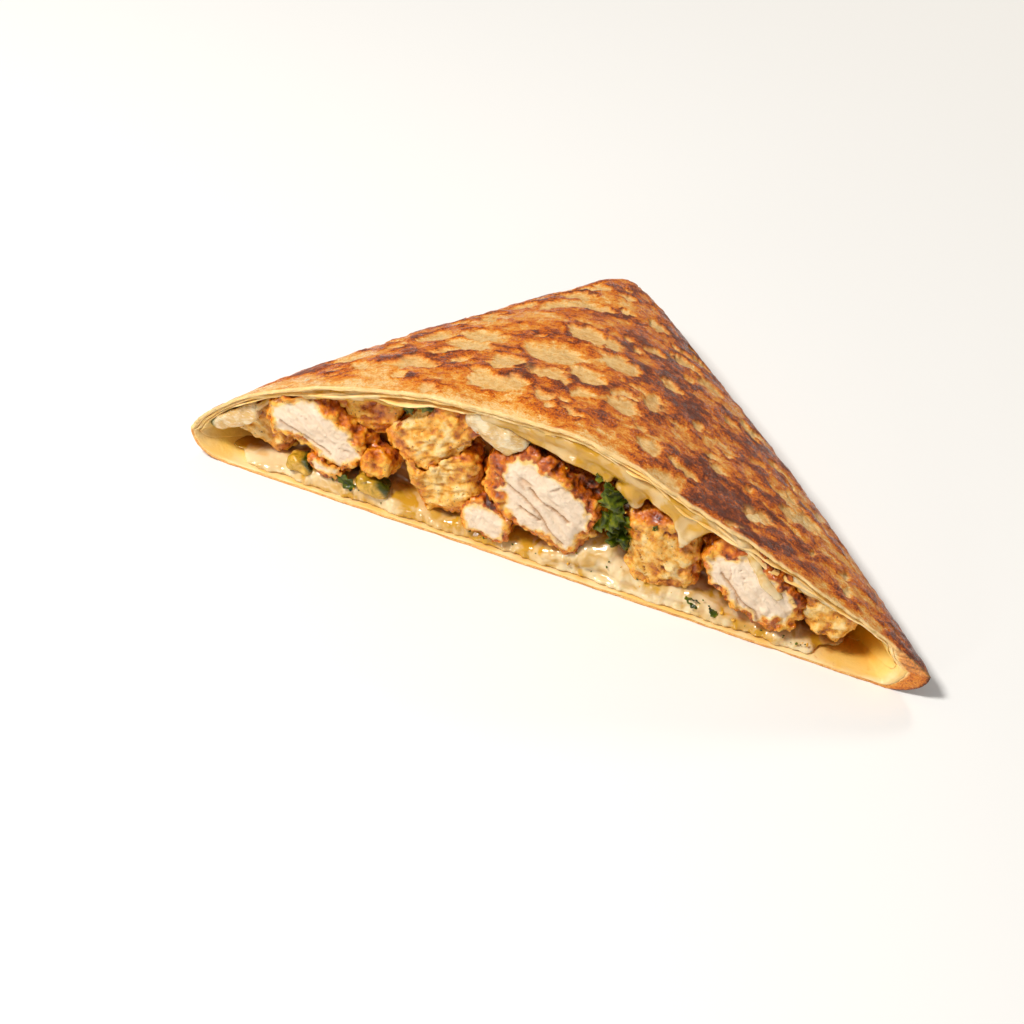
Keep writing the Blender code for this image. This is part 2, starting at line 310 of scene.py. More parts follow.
class Finish:
    """A material being made: one method adds any node, and the others name the ones used most."""

    def __init__(self, name, **constants):
        self.material = bpy.data.materials.new(name)
        self.material.use_nodes = True
        self.tree = self.material.node_tree
        self.shader = self.tree.nodes["Principled BSDF"]
        for key, value in constants.items():
            self.shader.inputs[key.replace("_", " ").title().replace("Ior", "IOR")].default_value = value

    def node(self, kind, settings=None, sockets=None, output=0):
        made = self.tree.nodes.new(kind)
        for key, value in (settings or {}).items():
            if key == "stops":
                self.set_stops(made.color_ramp, value)
            else:
                setattr(made, key, value)
        for key, value in (sockets or {}).items():
            self.feed(made.inputs[key], value)
        return Shade(self, made.outputs[output])

    def feed(self, socket, value):
        if isinstance(value, Shade):
            self.tree.links.new(value.socket, socket)
        elif socket.type == "RGBA":
            socket.default_value = (*value, 1)
        else:
            socket.default_value = value

    def set_stops(self, ramp, stops):
        while len(ramp.elements) < len(stops):
            ramp.elements.new(0.5)
        for element, (position, colour) in zip(ramp.elements, stops):
            element.position = position
            element.color = (*colour, 1)

    def painted(self, name):
        return self.node("ShaderNodeAttribute", {"attribute_name": name}, output=2)

    def grain(self, size, detail=2.0, rough=0.5, warp=0.0, stretch=(1, 1, 1)):
        """Noise from about 0 to 1 with grains of this size in millimetres."""
        spot = self.node("ShaderNodeTexCoord", output=3)
        spread = self.node("ShaderNodeMapping", None, {"Vector": spot, "Scale": stretch})
        sockets = {"Vector": spread, "Scale": 1 / (size * MM), "Detail": detail, "Roughness": rough}
        return self.node("ShaderNodeTexNoise", None, {**sockets, "Distortion": warp})

    def mix(self, amount, first, second):
        """Colour first where amount is 0, second where it is 1."""
        return self.node("ShaderNodeMix", {"data_type": "RGBA"}, {0: amount, 6: first, 7: second}, output=2)

    def relief(self, height, depth):
        """Feeds the normal with a height from 0 to 1, depth millimetres high."""
        sockets = {"Height": height, "Distance": depth * MM, "Strength": 1.0}
        bump = self.node("ShaderNodeBump", None, sockets)
        self.feed(self.shader.inputs["Normal"], bump)

    def set(self, **links):
        for key, value in links.items():
            self.feed(self.shader.inputs[key.replace("_", " ").title()], value)
        return self.material


# How the batter browns, from the palest to the darkest of the surface.
BROWNING = [
    (0.00, (0.88, 0.58, 0.25)), (0.12, (0.84, 0.46, 0.125)), (0.24, (0.80, 0.36, 0.058)),
    (0.35, (0.76, 0.280, 0.025)), (0.46, (0.72, 0.210, 0.009)), (0.56, (0.65, 0.152, 0.004)),
    (0.66, (0.56, 0.112, 0.002)), (0.76, (0.43, 0.076, 0.001)), (0.87, (0.27, 0.044, 0.001)),
    (1.00, (0.12, 0.019, 0.001))]
RAW_BATTER = (0.80, 0.52, 0.21)
RAW_SHADE = (0.62, 0.34, 0.095)
CREAM_BATTER = (0.94, 0.68, 0.34)
YELLOW_BATTER = (0.90, 0.54, 0.15)
SHADED_BATTER = (0.66, 0.25, 0.004)
GLOW_BATTER = (0.97, 0.60, 0.09)


def browned_crepe():
    """The outer sheet: pale in its hollows, gold to dark brown where it met the griddle, and oily."""
    f = Finish("browned crepe", subsurface_weight=0.05, subsurface_radius=(0.003, 0.0015, 0.0007),
               subsurface_scale=0.4, specular_ior_level=0.25)
    fine = f.grain(1.2, 5, 0.72, 0.4, (0.75, 1, 1))
    blot = f.grain(3.2, 4, 0.65, 0.8, (0.7, 1, 1))
    speck = f.grain(0.45, 2, 0.6)
    brown = f.painted("brown") + 0.03 + (fine - 0.5) * 1.4 + (blot - 0.5) * 0.9 + (speck - 0.5) * 1.1
    toast = brown.ramp(BROWNING)
    raw = f.mix(fine.step(0.36, 0.66), RAW_BATTER, RAW_SHADE)
    toast = f.mix(f.painted("hollow") * blot.step(0.25, 0.55) * 0.75, toast, raw)
    # painted shade: the cut edge is yellower and darker on its set-back rings, the grooves between its layers
    side = f.mix(fine.step(0.35, 0.7) * 0.5 + f.painted("seam") * 0.4, CREAM_BATTER, YELLOW_BATTER)
    f.relief(fine * 0.5 + speck * 0.25 + blot * 0.25, 0.6)
    oil = f.grain(5, 3, 0.6, 0.8).step(0.45, 0.6)
    return f.set(base_color=f.mix(f.painted("cut"), toast, side), roughness=0.5 - oil * 0.33)


def pale_crepe():
    """The inner sheets: cream to yellow with faint freckles, painted shade inside the fold and a painted warm
    glow at its ends.
    """
    f = Finish("pale crepe", subsurface_weight=0.15, subsurface_radius=(0.005, 0.0025, 0.001),
               subsurface_scale=0.5, coat_roughness=0.2, specular_ior_level=0.4)
    wide = f.grain(9, 3, 0.55, 0.4)
    fine = f.grain(1.3, 3, 0.6)
    freckle = f.grain(2.0, 3, 0.6).step(0.62, 0.72)
    colour = f.mix(wide.step(0.35, 0.65), CREAM_BATTER, YELLOW_BATTER)
    colour = f.mix(freckle * 0.45, colour, (0.70, 0.27, 0.045))
    # painted shade: the sheets turn darker and browner further inside the fold
    colour = f.mix(f.painted("deep"), colour, SHADED_BATTER)
    # painted light: a warm glow of light bounced inside the left end of the fold and on the floor of the
    # right end
    colour = f.mix(f.painted("golden"), colour, GLOW_BATTER)
    f.relief(fine * 0.6 + wide * 0.4, 0.25)
    return f.set(base_color=colour, roughness=0.44 - wide * 0.14, coat_weight=wide.step(0.4, 0.7) * 0.3)


MEAT = (0.91, 0.74, 0.56)
MEAT_SHADE = (0.84, 0.62, 0.41)
MEAT_EDGE = (0.88, 0.55, 0.17)
MEAT_SPLIT_SHADE = (0.55, 0.25, 0.08)
TORN = [(0.0, (0.90, 0.64, 0.28)), (0.2, (0.86, 0.50, 0.11)), (0.42, (0.77, 0.33, 0.022)),
        (0.68, (0.54, 0.155, 0.004)), (1.0, (0.24, 0.046, 0.002))]
CRUST = [(0.0, (0.88, 0.47, 0.060)), (0.2, (0.79, 0.29, 0.012)), (0.42, (0.63, 0.160, 0.003)),
         (0.64, (0.42, 0.078, 0.002)), (0.85, (0.20, 0.030, 0.001)), (1.0, (0.06, 0.010, 0.001))]
CHAR = (0.06, 0.014, 0.003)


def cooked_chicken():
    """White where the knife went through, torn pale-gold fibres, and an orange-brown seasoned crust."""
    f = Finish("cooked chicken", subsurface_weight=0.06, subsurface_radius=(0.003, 0.0015, 0.0008),
               subsurface_scale=0.4, specular_ior_level=0.5, coat_roughness=0.12)
    fine = f.grain(0.9, 4, 0.65)
    wide = f.grain(3.2, 3, 0.6, 0.5)
    # the painted toast carries painted shade in the crust's hollows and pits and lighter tops on its lumps
    crust = (f.painted("toast") + (fine - 0.5) * 0.7 + (wide - 0.5) * 0.6).ramp(CRUST)
    # painted shade: the torn meat darkens in its crevices
    torn = (f.painted("crease") + (fine - 0.5) * 0.5 + wide.step(0.40, 0.68) * 0.36).ramp(TORN)
    # painted shade between the strands of white meat, with a random tone
    white = f.mix(f.painted("strand") * 0.75 + (wide - 0.5) * 0.4, MEAT, MEAT_SHADE)
    # painted shade in the splits between the fibres
    white = f.mix(f.painted("crease"), white, MEAT_SPLIT_SHADE)
    meat = f.painted("meat") + (fine - 0.5) * 0.45 + (wide - 0.5) * 0.3
    colour = f.mix(f.painted("torn"), crust, torn)
    colour = f.mix(meat.step(0.15, 0.5), colour, MEAT_EDGE)
    colour = f.mix(meat.step(0.45, 1.0), colour, white)
    pepper = f.grain(0.7, 1, 0.5).step(0.69, 0.73) * (1 - f.painted("meat") * 0.9)
    f.relief(fine * 0.8 + wide * 0.2, 0.6)
    wet = f.grain(4.5, 3, 0.6, 0.5).step(0.42, 0.52) * (1 - f.painted("meat") * 0.7)
    return f.set(base_color=f.mix(pepper * 0.75, colour, CHAR), roughness=0.5 - wet * 0.41,
                 coat_weight=wet * 0.25)


CHEESE_CREAM = (0.82, 0.65, 0.38)
CHEESE_YELLOW = (0.58, 0.30, 0.020)
CHEESE_SHADE = (0.30, 0.09, 0.006)


def melted_cheese():
    """Glossy melted cheese: cream where it is thick, yellow where oil stands on it, with painted shade deep
    inside and on the left of its foot.
    """
    f = Finish("melted cheese", subsurface_weight=0.25, subsurface_radius=(0.005, 0.003, 0.0014),
               subsurface_scale=0.6, coat_weight=0.3, coat_roughness=0.1, specular_ior_level=0.5)
    wide = f.grain(6, 3, 0.5, 0.6)
    fine = f.grain(1.6, 3, 0.55)
    oil = wide.step(0.42, 0.66) * 0.8
    colour = f.mix(oil + f.painted("yellow"), CHEESE_CREAM, CHEESE_YELLOW)
    f.relief(fine * 0.35 + wide * 0.65, 0.3)
    # painted shade: deep inside the fold the cheese turns dark brown
    return f.set(base_color=f.mix(f.painted("deep"), colour, CHEESE_SHADE), roughness=0.07 + fine * 0.16)


def cooked_onion():
    """Soft, cloudy and wet, with paler veins along its layers."""
    f = Finish("cooked onion", subsurface_weight=0.35, subsurface_radius=(0.005, 0.0035, 0.002),
               subsurface_scale=0.7, coat_weight=0.7, coat_roughness=0.06, specular_ior_level=0.5)
    wide = f.grain(4, 3, 0.5, 0.5)
    veins = f.grain(1.1, 2, 0.5, 0.2, (1, 1, 4))
    colour = f.mix(wide.step(0.35, 0.62), (0.82, 0.66, 0.40), (0.66, 0.40, 0.12))
    colour = f.mix(veins.step(0.52, 0.68) * 0.5, colour, (0.92, 0.84, 0.66))
    f.relief(veins, 0.3)
    colour = f.mix(f.painted("green"), colour, (0.03, 0.075, 0.008))
    return f.set(base_color=colour, roughness=0.2 + wide * 0.1)


def cooked_pepper():
    """Olive skin with yellow, see-through flesh."""
    f = Finish("cooked pepper", subsurface_weight=0.2, subsurface_radius=(0.003, 0.002, 0.0008),
               subsurface_scale=0.5, coat_weight=0.35, coat_roughness=0.07, specular_ior_level=0.4)
    wide = f.grain(2.4, 3, 0.55, 0.6)
    colour = wide.ramp([(0.30, (0.22, 0.13, 0.006)), (0.45, (0.46, 0.26, 0.014)), (0.60, (0.68, 0.38, 0.04)),
                        (0.75, (0.82, 0.58, 0.18))])
    colour = f.mix(f.painted("green") + (wide - 0.5) * 0.5, colour, (0.045, 0.052, 0.002))
    f.relief(wide, 0.4)
    return f.set(base_color=colour, roughness=0.22 + wide * 0.1)


def cooked_herb():
    """Dark wet green, yellower in random patches."""
    f = Finish("cooked herb", subsurface_weight=0.1, subsurface_radius=(0.001, 0.0015, 0.0004),
               subsurface_scale=0.4, coat_weight=0.2, coat_roughness=0.08, specular_ior_level=0.25)
    wide = f.grain(1.8, 3, 0.6, 0.4)
    colour = wide.ramp([(0.32, (0.014, 0.020, 0.0004)), (0.5, (0.062, 0.086, 0.001)),
                        (0.68, (0.20, 0.20, 0.004))])
    f.relief(wide, 0.3)
    return f.set(base_color=colour, roughness=0.25 + wide * 0.15)


# ---- The fold's shape ----

def end_closing(depth, end):
    return round_off((depth - (end - TIP_ROUNDING)) / TIP_ROUNDING)


def reach(u, depth, inset, end):
    """How far the fold on u's side is from the line that joins the cut's middle to the tip."""
    share = depth / DEPTH
    bulge = np.where(u < 0, LEFT_BULGE, RIGHT_BULGE)
    plain = HALF_CUT * (1 - share) + TIP_HALF_WIDTH * share + bulge * 4 * share * (1 - share)
    return np.maximum(0, plain - inset) * end_closing(depth, end)


def softened(u):
    """The distance from the ridge at u, rounded over where the two slopes meet."""
    foot = RIDGE_SOFTNESS
    return (np.hypot(u, foot) - foot) / (math.hypot(1, foot) - foot)


def arch(u, share):
    """The top's height at u from -1 to 1: round on the left, a straighter slope on the right."""
    power = np.where(u < 0, LEFT_ARCH[0], RIGHT_ARCH[0])
    root = np.where(u < 0, LEFT_ARCH[1], RIGHT_ARCH[1])
    at_cut = np.clip(1 - softened(u) ** power, 0, 1) ** (1 / root)
    return at_cut * (1 - share) + round_off(np.abs(u)) * share


def fold_point(u, upper, depth, inset, end):
    """A point of the folded skin, inside the surface by inset. upper is True over the filling."""
    share = depth / DEPTH
    in_right = RIGHT_FOLD * smoothstep(0.88, 1, u) * np.clip(inset, 0, 1) * (1 - share)
    wide = reach(u, depth, inset + in_right, end)
    closing = end_closing(depth, end)
    crown = CROWN + (TIP_CROWN - CROWN) * np.clip(share, 0, 1) ** CROWN_FALL
    over = FOLD_MIDDLE + (crown - inset - FOLD_MIDDLE) * arch(u, share) * closing
    up_the_fold = np.maximum(0, np.abs(u) * wide - (wide - FOLD_ROUNDING)) / FOLD_ROUNDING
    under = FOLD_MIDDLE - (FOLD_MIDDLE - inset) * round_off(up_the_fold) * closing
    across = MIDDLE_X + TIP_SHIFT * share + u * wide
    return np.stack([across, depth + CUT_Y, np.where(upper, over, under)], -1)


# How far under the surface the cheese hangs from, which is just inside the three sheets.
ROOF_INSET = 2.9


def roof(x, depth):
    """The height of the fold's inside above the place x across and depth behind the cut."""
    wide = reach(np.sign(x), depth, 0.0, DEPTH)
    u = np.clip((x - TIP_SHIFT * depth / DEPTH) / wide, -1, 1)
    return float(fold_point(u, True, depth, ROOF_INSET, DEPTH)[2])


class Ring:
    """The stations round the fold: over the top from left to right, and back underneath."""

    def __init__(self, over, under):
        top = np.sin(np.linspace(-math.pi / 2, math.pi / 2, over + 1))
        low = np.sin(np.linspace(math.pi / 2, -math.pi / 2, under + 1))[1:-1]
        self.u = np.concatenate([top, low])
        self.upper = np.concatenate([np.ones(len(top), bool), np.zeros(len(low), bool)])
        self.count = len(self.u)

    def row(self, depth, inset, end):
        """One ring of points. depth and inset are numbers, or one for each station."""
        depth = np.broadcast_to(depth, self.u.shape)
        inset = np.broadcast_to(inset, self.u.shape)
        return fold_point(self.u, self.upper, depth, inset, end)


def ring_faces(rows, count, start=0, turned=False):
    """Quads between successive closed rings."""
    row, i = np.meshgrid(np.arange(rows - 1), np.arange(count), indexing="ij")
    a = start + row * count + i
    b = start + row * count + (i + 1) % count
    quads = np.stack([a, b, b + count, a + count], -1).reshape(-1, 4)
    return quads[:, ::-1] if turned else quads


def grid_normals(rows):
    """Outward normals of rows of closed rings."""
    along = np.gradient(rows, axis=0)
    round_ = np.roll(rows, -1, axis=1) - np.roll(rows, 1, axis=1)
    normal = np.cross(round_, along)
    return normal / np.maximum(1e-9, np.linalg.norm(normal, axis=-1, keepdims=True))


def depth_rows(end, count, bend=10):
    """Depths from the cut to the round end, closer together where the end closes."""
    straight = np.linspace(0, end - TIP_ROUNDING, count)
    turn = end - TIP_ROUNDING * (1 - np.sin(np.linspace(0, math.pi / 2, bend + 1)[1:-1]))
    return np.concatenate([straight, turn])


# ---- The outer sheet and its browning ----

TOP_STATIONS = 420
UNDER_STATIONS = 100
OUTER_ROWS = 160
RIM_RINGS = 6
# The browned marks are drawn out along the cut.
STREAK = np.array([1.45, 1.0, 1.0])
# How deep the edge's unevenness goes into the sheet, and how far the outer sheet's inside passes the cavity.
EDGE_FADE = 8.0
INSIDE_PAST_CAVITY = 8.0
# How many small hollows bubbles left above and below, and their seeds.
HOLLOWS_ABOVE = (190, 5)
HOLLOWS_BELOW = (60, 8)
# How much longer a hollow's room is along the cut, how close two may be as a share of their radii, and how
# often one that comes closer is dropped.
ROOM_LENGTH = 1.4
CROWDING = 0.78
CROWDED_DROPPED = 0.97
# Large bubbles in the top, as places across and back with their radius.
BUBBLES = ((-17, -17, 6.0), (-6, -25, 4.6), (-1, -11, 5.0), (-27, -28, 4.2), (-38, -22, 4.8),
           (-48, -37, 4.2), (5, -33, 4.2), (12, -21, 3.8), (-11, -2, 4.4), (-22, -40, 3.6),
           (33, -33, 4.2), (46, -42, 4.6))
# Wide areas that are browner or paler than the rest, as across, back, radius and how much.
AREAS = ((2, 12, 13, 0.30), (15, 30, 12, 0.26), (8, 48, 9, 0.15), (24, -49, 10, 0.18), (39, -54, 9, 0.20),
         (53, -56, 9, 0.16), (-34, -46, 8, 0.12), (20, -8, 11, 0.14), (-14, -20, 13, -0.26),
         (60, -35, 10, -0.26), (-66, -42, 14, -0.14), (36, -22, 9, -0.16))


def hollows(spot, count, seed):
    """Distance from the nearest of the ovals that bubbles left in the batter: 1 is the edge of an oval."""
    rng = np.random.default_rng(seed)
    near = np.full(len(spot), 9.0)
    placed = []
    while len(placed) < count:
        x, y = rng.uniform(-HALF_CUT, HALF_CUT), CUT_Y + rng.uniform(2, DEPTH)
        radius = 1.5 + 2.9 * rng.random() ** 1.4
        crowded = any(math.hypot((x - a) / ROOM_LENGTH, y - b) < CROWDING * (radius + c)
                      for a, b, c in placed)
        if crowded and rng.random() < CROWDED_DROPPED:
            continue
        placed.append((x, y, radius))
        long = rng.uniform(1.1, 1.9)
        angle = rng.uniform(-0.45, 0.45)
        a = ((spot[:, 0] - x) * math.cos(angle) + (spot[:, 1] - y) * math.sin(angle)) / (radius * long)
        b = ((spot[:, 1] - y) * math.cos(angle) - (spot[:, 0] - x) * math.sin(angle)) / radius
        near = np.minimum(near, np.hypot(a, b))
    return near


def ranked(values):
    """Each value's place in their order, from 0 to 1."""
    order = np.empty(len(values))
    order[np.argsort(values)] = np.linspace(0, 1, len(values))
    return order


def browning(points, u, upper, depth):
    """How brown the outer sheet is, from 0 to 1, and how deep its pale hollows are."""
    wobble = [noises(points, (1.9, 7, salt), (1.3, 2.6, salt + 2), (0.5, 1.1, salt + 4)) for salt in (40, 41)]
    spot = points + np.stack([*wobble, np.zeros(len(points))], -1)
    large = [np.hypot((spot[:, 0] - a) / ROOM_LENGTH, spot[:, 1] - b) / radius for a, b, radius in BUBBLES]
    near = np.minimum(hollows(spot, *HOLLOWS_ABOVE), np.min(large, axis=0))
    near = np.where(upper, near, hollows(spot, *HOLLOWS_BELOW))
    x = points[:, 0] - MIDDLE_X
    slope = smoothstep(-15, 35, x)
    shrunk = near + 0.28 * slope * (1 + 1.2 * noise(points, 14, 47))
    steep = np.where(upper, smoothstep(0.84, 0.95, np.abs(u) + 0.04 * noise(points, 6, 48)), 0)
    hollow = (1 - smoothstep(0.60, 1.05, shrunk + 0.20 * noise(points, 1.6, 46))) * (1 - steep)
    patch = layered(spot, 19 * STREAK, 3, 2)
    round_marks = layered(spot, 8 * STREAK, 9, 3)
    long_marks = layered(spot, np.array([17, 5.5, 7]), 29, 3)
    streak = round_marks * (1 - slope) + 1.15 * long_marks * slope
    fleck = layered(spot, 3.4 * STREAK, 14, 3)
    veins = smoothstep(0.22, 0.0, np.abs(noise(spot, 8 * STREAK, 19)))
    lip_width = 5 + 6 * smoothstep(10, -60, x)
    lip = smoothstep(1, 0, (depth + 2.2 * noise(points, 9, 22) + 1.2 * noise(points, 3, 23)) / lip_width)
    sides = smoothstep(0.72, 1.0, np.abs(u))
    brown = 0.42 * patch + 0.72 * streak + 0.36 * fleck + 0.22 * veins
    brown = brown + 0.22 * bell(near, 1.2, 0.22) - 0.95 * hollow
    right_fold = bell(x, 99, 8) * smoothstep(30, 8, depth)
    left_fold = bell(u, -0.955, 0.03) * smoothstep(7, 1, depth)
    brown = brown + 0.15 * smoothstep(-10, 60, x) - 0.30 * sides - (0.34 + 0.2 * (1 - slope)) * lip
    brown = brown + 1.6 * right_fold + 0.75 * left_fold
    for across, back, radius, amount in AREAS:
        away = np.hypot(points[:, 0] - across, points[:, 1] - back)
        brown = brown + amount * bell(away, 0, radius) * upper
    brown = np.where(upper, brown, brown + 0.35 - 0.3 * smoothstep(0.8, 0.95, np.abs(u)))
    return ranked(brown), hollow


def sheet_swell(points):
    """The soft rise and fall of all the sheets where the pieces under them press."""
    return noises(points, (0.9, 24, 1), (0.45, 12, 2))


def ring_rows(ring, depths, edge, inset, end, fade):
    """Rings at these depths. edge sets the first ones back, and evens out over the depth fade."""
    rows = [ring.row(d + edge * max(0, 1 - d / fade), inset, end) for d in depths]
    swollen = []
    for row in rows:
        lift = np.zeros_like(row)
        lift[:, 2] = sheet_swell(row) * np.where(ring.upper, round_off(np.abs(ring.u)), 0)
        swollen.append(row + lift)
    return np.stack(swollen)


def rim_rings(ring, outside, inside, count, salt):
    """The cut edge of a sheet, as rings between its two skins: uneven, like thin layers pressed together."""
    rings = []
    uneven = np.where(ring.upper, 1.0, 0.35)
    for k in range(1, count):
        t = k / count
        row = outside * (1 - t) + inside * t
        layer = (0.07 * (k % 2) + 0.24 * noise(row + (0, 0, 7.0 * k), 5, salt)) * uneven
        row[:, 1] += layer - 0.22 * math.sin(math.pi * t)
        rings.append(row)
    return np.stack(rings)


def tube(rows, first_tip=None, last_tip=None):
    """Points and faces of a run of rings. Each end is closed by a tip or, with no tips, the ends meet."""
    total, count = rows.shape[:2]
    i = np.arange(count)
    j = (i + 1) % count
    last = (total - 1) * count
    points = rows.reshape(-1, 3)
    quads = ring_faces(total, count)
    if first_tip is None:
        ends = [np.stack([last + i, last + j, j], -1), np.stack([last + i, j, i], -1)]
        return points, quads, np.concatenate(ends)
    tip = len(points)
    ends = np.concatenate([np.stack([j, i, np.full(count, tip)], -1),
                           np.stack([last + i, last + j, np.full(count, tip + 1)], -1)])
    return np.concatenate([points, [first_tip, last_tip]]), quads, ends


def outer_sheet():
    ring = Ring(TOP_STATIONS, UNDER_STATIONS)
    start = ring.row(0.0, 0.0, DEPTH)
    edge = noises(start, (0.5, 14, 60), (0.45, 4, 61), (0.25, 1.4, 62))
    edge = (edge + 1.4 * np.maximum(0, noise(start, 6.5, 63) - 0.3)) * np.where(ring.upper, 1, 0.4)
    depths = depth_rows(DEPTH, OUTER_ROWS)
    outside = ring_rows(ring, depths, edge, 0.0, DEPTH, EDGE_FADE)
    normals = grid_normals(outside)
    flat = outside.reshape(-1, 3)
    u, upper = np.tile(ring.u, len(depths)), np.tile(ring.upper, len(depths))
    depth = np.repeat(depths, ring.count)
    brown, hollow = browning(flat, u, upper, depth)
    fine = noises(flat, (0.12, 1.9, 71), (0.16, 3.8, 72))
    relief = (0.34 * smoothstep(0.3, 0.9, brown) - 0.62 * hollow + fine) * np.where(upper, 1, 0.25)
    relief = relief * end_closing(depth, DEPTH) * smoothstep(-0.5, 2.5, depth)
    outside = outside + normals * relief.reshape(outside.shape[:2])[..., None]
    outside[..., 2] = np.maximum(outside[..., 2], 0.0)

    inner_end = CAVITY_END + INSIDE_PAST_CAVITY
    thickness = OUTER_THICKNESS * np.where(ring.upper, 1, 0.7)
    inside = ring_rows(ring, depth_rows(inner_end, 12, 4), edge, thickness, inner_end, EDGE_FADE)
    rim = rim_rings(ring, inside[0], outside[0], RIM_RINGS, 65)
    tips = [(MIDDLE_X + TIP_SHIFT * end / DEPTH, CUT_Y + end, FOLD_MIDDLE) for end in (inner_end, DEPTH)]
    points, quads, ends = tube(np.concatenate([inside[::-1], rim, outside]), *tips)
    mesh = mesh_of("outer_crepe", points, quads, ends)

    edges = slice(len(inside) * ring.count, (len(inside) + len(rim)) * ring.count)
    skin = slice(edges.stop, len(points) - len(tips))
    cut, tone = np.ones(len(points)), np.full(len(points), 0.1)
    raw, seam = np.zeros(len(points)), np.zeros(len(points))
    cut[skin] = 1 - smoothstep(0.0, 0.7, depth + 0.35 * noise(flat, 2.2, 66))
    cut[skin] *= np.where(upper, 1, 0.2)
    tone[skin] = np.where(upper, brown, np.maximum(brown, 0.45 + 0.3 * noise(flat, 5, 67)))
    raw[skin] = hollow
    # painted shade in the grooves: every other ring of the cut edge stands further back from the cut
    groove_rings = np.tile((np.arange(1, RIM_RINGS) % 2 == 1)[:, None], ring.count)
    seam[edges] = groove_rings.ravel()
    right_end = smoothstep(84, 94, points[:, 0] - MIDDLE_X)
    cut[edges] = np.tile(np.where(ring.upper, 1, 0.35), len(rim))
    tone[edges] = 0.36 + 0.2 * right_end[edges]
    cut[edges.start:] *= 1 - 0.75 * right_end[edges.start:]
    paint(mesh, brown=tone, hollow=raw, cut=cut, seam=seam)
    return object_of("outer_crepe", mesh)


# ---- The inner sheets ----

INNER_STATIONS = (300, 130)
LINING_STATIONS = (300, 60)
INNER_FADE = 14.0
SHEET_RIM_RINGS = 3


def band_rows(end, count):
    """Depths of an inner sheet's rings, closer together near the cut."""
    near = 12
    return np.concatenate([np.linspace(0, near, 14), np.linspace(near, end, count)[1:]])


def inner_sheet():
    """The second sheet, all the way round inside the first. It sags on the left and more on the right."""
    ring = Ring(*INNER_STATIONS)
    base = ring.row(0.0, INNER_INSET, DEPTH)
    x = base[:, 0] - MIDDLE_X
    edge = 0.7 + 0.8 * noise(base, 16, 80) + 0.5 * noise(base, 5, 81) + 0.2 * noise(base, 1.6, 82)
    edge = np.where(ring.upper, edge, 0.12 * edge)
    sag = 0.2 + 1.2 * np.maximum(0, noise(base, 20, 84)) + 1.7 * bell(x, -62, 9) + 2.6 * bell(x, 56, 15)
    return lined_shell("inner_crepe", ring, band_rows(60, 30), edge, sag, INNER_INSET, INNER_THICKNESS)


def lining_sheet():
    """The third sheet, which hangs under the second along the top of the cut and is hidden below."""
    ring = Ring(*LINING_STATIONS)
    base = ring.row(0.0, LINING_INSET, DEPTH)
    x = base[:, 0] - MIDDLE_X
    edge = 1.0 + 1.0 * noise(base, 12, 90) + 0.7 * noise(base, 4.5, 91) + 0.25 * noise(base, 1.5, 92)
    sag = np.maximum(0, 0.5 + 1.8 * bell(x, 38, 16) + 1.6 * bell(x, -38, 14) + 1.1 * noise(base, 9, 94))
    edge = edge + np.where(ring.upper, 0, 12 * smoothstep(1.0, 0.93, np.abs(ring.u)))
    return lined_shell("lining_crepe", ring, band_rows(50, 20), edge, sag, LINING_INSET, LINING_THICKNESS)


def lined_shell(name, ring, depths, edge, sag, inset, thickness):
    """A closed band of sheet inside the fold: its outside, its inside, and the edges that join them."""
    sag = sag * ring.upper * (1 - smoothstep(0.75, 0.95, np.abs(ring.u)))
    skins = []
    for extra in (0.0, thickness):
        into = np.where(ring.upper, inset + extra, 0.55 * (inset + extra))
        rows = ring_rows(ring, depths, edge, into, CAVITY_END, INNER_FADE)
        hang = np.maximum(0, 1 - depths / INNER_FADE) ** 1.5
        rows[..., 2] -= sag * hang[:, None]
        ripple = 0.2 * noise(rows.reshape(-1, 3), 6, 97).reshape(rows.shape[:2])
        skins.append(rows + grid_normals(rows) * ripple[..., None])
    outside, inside = skins
    rim = rim_rings(ring, inside[0], outside[0], SHEET_RIM_RINGS, 98)
    points, quads, ends = tube(np.concatenate([inside[::-1], rim, outside]))
    mesh = mesh_of(name, points, quads, ends)
    behind = points[:, 1] - CUT_Y
    right = smoothstep(40, 72, points[:, 0])
    left = smoothstep(-62, -80, points[:, 0])
    # painted shade: darker further behind the cut, more so on the right and not in the left end
    deep = smoothstep(1.5, 18 - 9 * right, behind) * (0.55 + 0.45 * right) * (1 - left)
    # painted light: a warm glow of bounced light deep in the left end and on the floor of the right end
    right_floor = smoothstep(64, 80, points[:, 0]) * smoothstep(0.3, 2, behind) * smoothstep(12, 5, behind)
    paint(mesh, deep=deep, golden=smoothstep(1, 7, behind) * left * 0.9 + right_floor * 0.55)
    return object_of(name, mesh)


# ---- Chicken ----

CHICKEN_NET = 0.42
# How far behind its front a piece has lumps of crust, and the area in square millimetres that each one takes.
CRUST_DEPTH = 16.0
CRUST_AREA = 4.2

